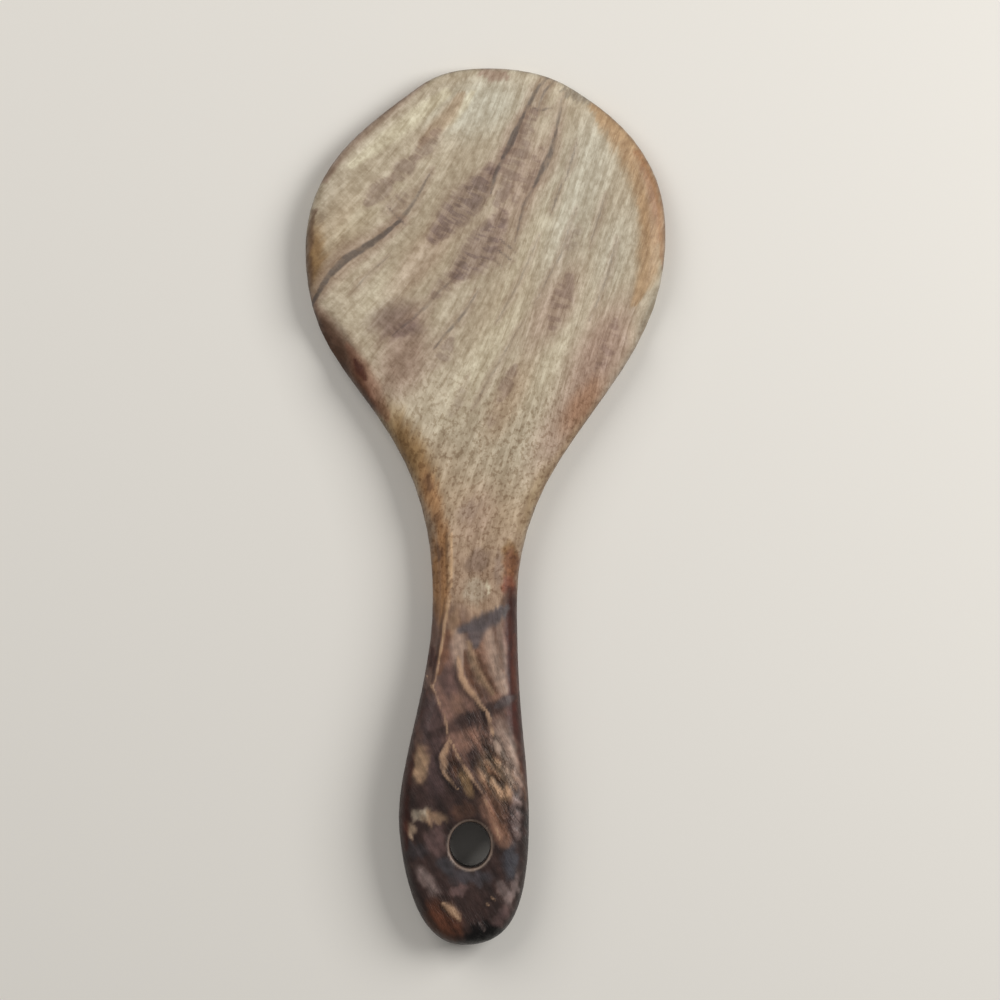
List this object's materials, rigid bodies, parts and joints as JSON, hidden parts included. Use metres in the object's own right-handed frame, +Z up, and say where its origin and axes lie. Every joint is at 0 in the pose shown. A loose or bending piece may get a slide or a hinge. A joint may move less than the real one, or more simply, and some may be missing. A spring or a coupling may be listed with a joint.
{
  "type": "wooden spoon",
  "caption": "Carved one-piece wooden serving spoon with a broad, nearly flat round blade, a waisted neck and a swelling handle pierced by an oval hanging hole.",
  "frame": {"origin": "under the middle of the bounding box, on the plane the spoon lies on", "axes": "+Y from the handle to the blade's tip, +Z up out of the blade's face, +X to the right when the face is seen with the blade up"},
  "size_m": [0.0824, 0.2, 0.013],
  "materials": {
    "oiled_wood": "satin lacquer over streaked pale and dark grain"
  },
  "bodies": {
    "root": {"spoon": "oiled_wood"}
  },
  "joints": []
}
